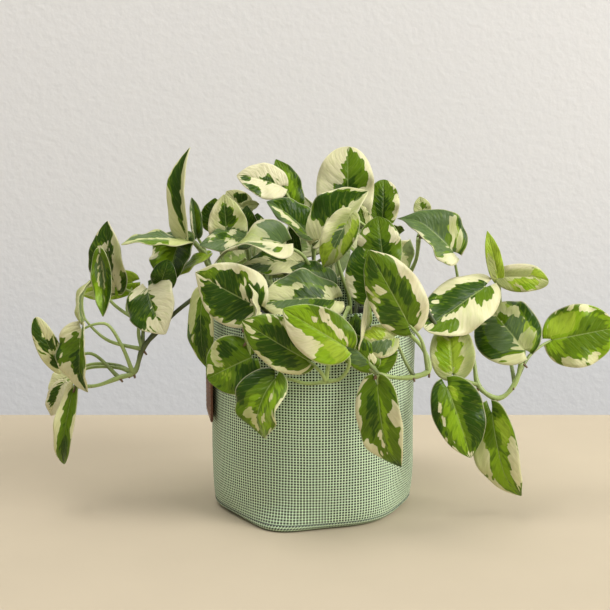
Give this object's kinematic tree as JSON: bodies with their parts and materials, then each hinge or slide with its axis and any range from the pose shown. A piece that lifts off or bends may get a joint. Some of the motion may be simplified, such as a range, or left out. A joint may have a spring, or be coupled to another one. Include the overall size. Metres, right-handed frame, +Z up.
{
  "type": "potted pothos plant",
  "caption": "Trailing pothos with variegated leaves in a nursery pot that stands in a round woven fabric cover.",
  "frame": {"origin": "middle of the cover's base, on the surface that it stands on", "axes": "+Z up, -Y to the front of the plant, +X to the viewer's right, along the longest spread of the stems"},
  "size_m": [0.3924, 0.2083, 0.245],
  "materials": {
    "fabric": "matte",
    "plastic": "matte",
    "soil": "matte",
    "label": "matte",
    "plant": "satin"
  },
  "bodies": {
    "root": {"fabric_cover": "fabric", "nursery_pot": "plastic", "soil": "soil", "label": "label", "vine_left_long": "plant", "vine_left_upright": "plant", "vine_top_left": "plant", "vine_top": "plant", "vine_heart": "plant", "vine_centre": "plant", "vine_top_right": "plant", "vine_right_back": "plant", "vine_front_left": "plant", "vine_front": "plant", "vine_front_right": "plant", "vine_right_long": "plant", "vine_back_left": "plant", "vine_back": "plant", "vine_back_right": "plant"}
  },
  "joints": []
}
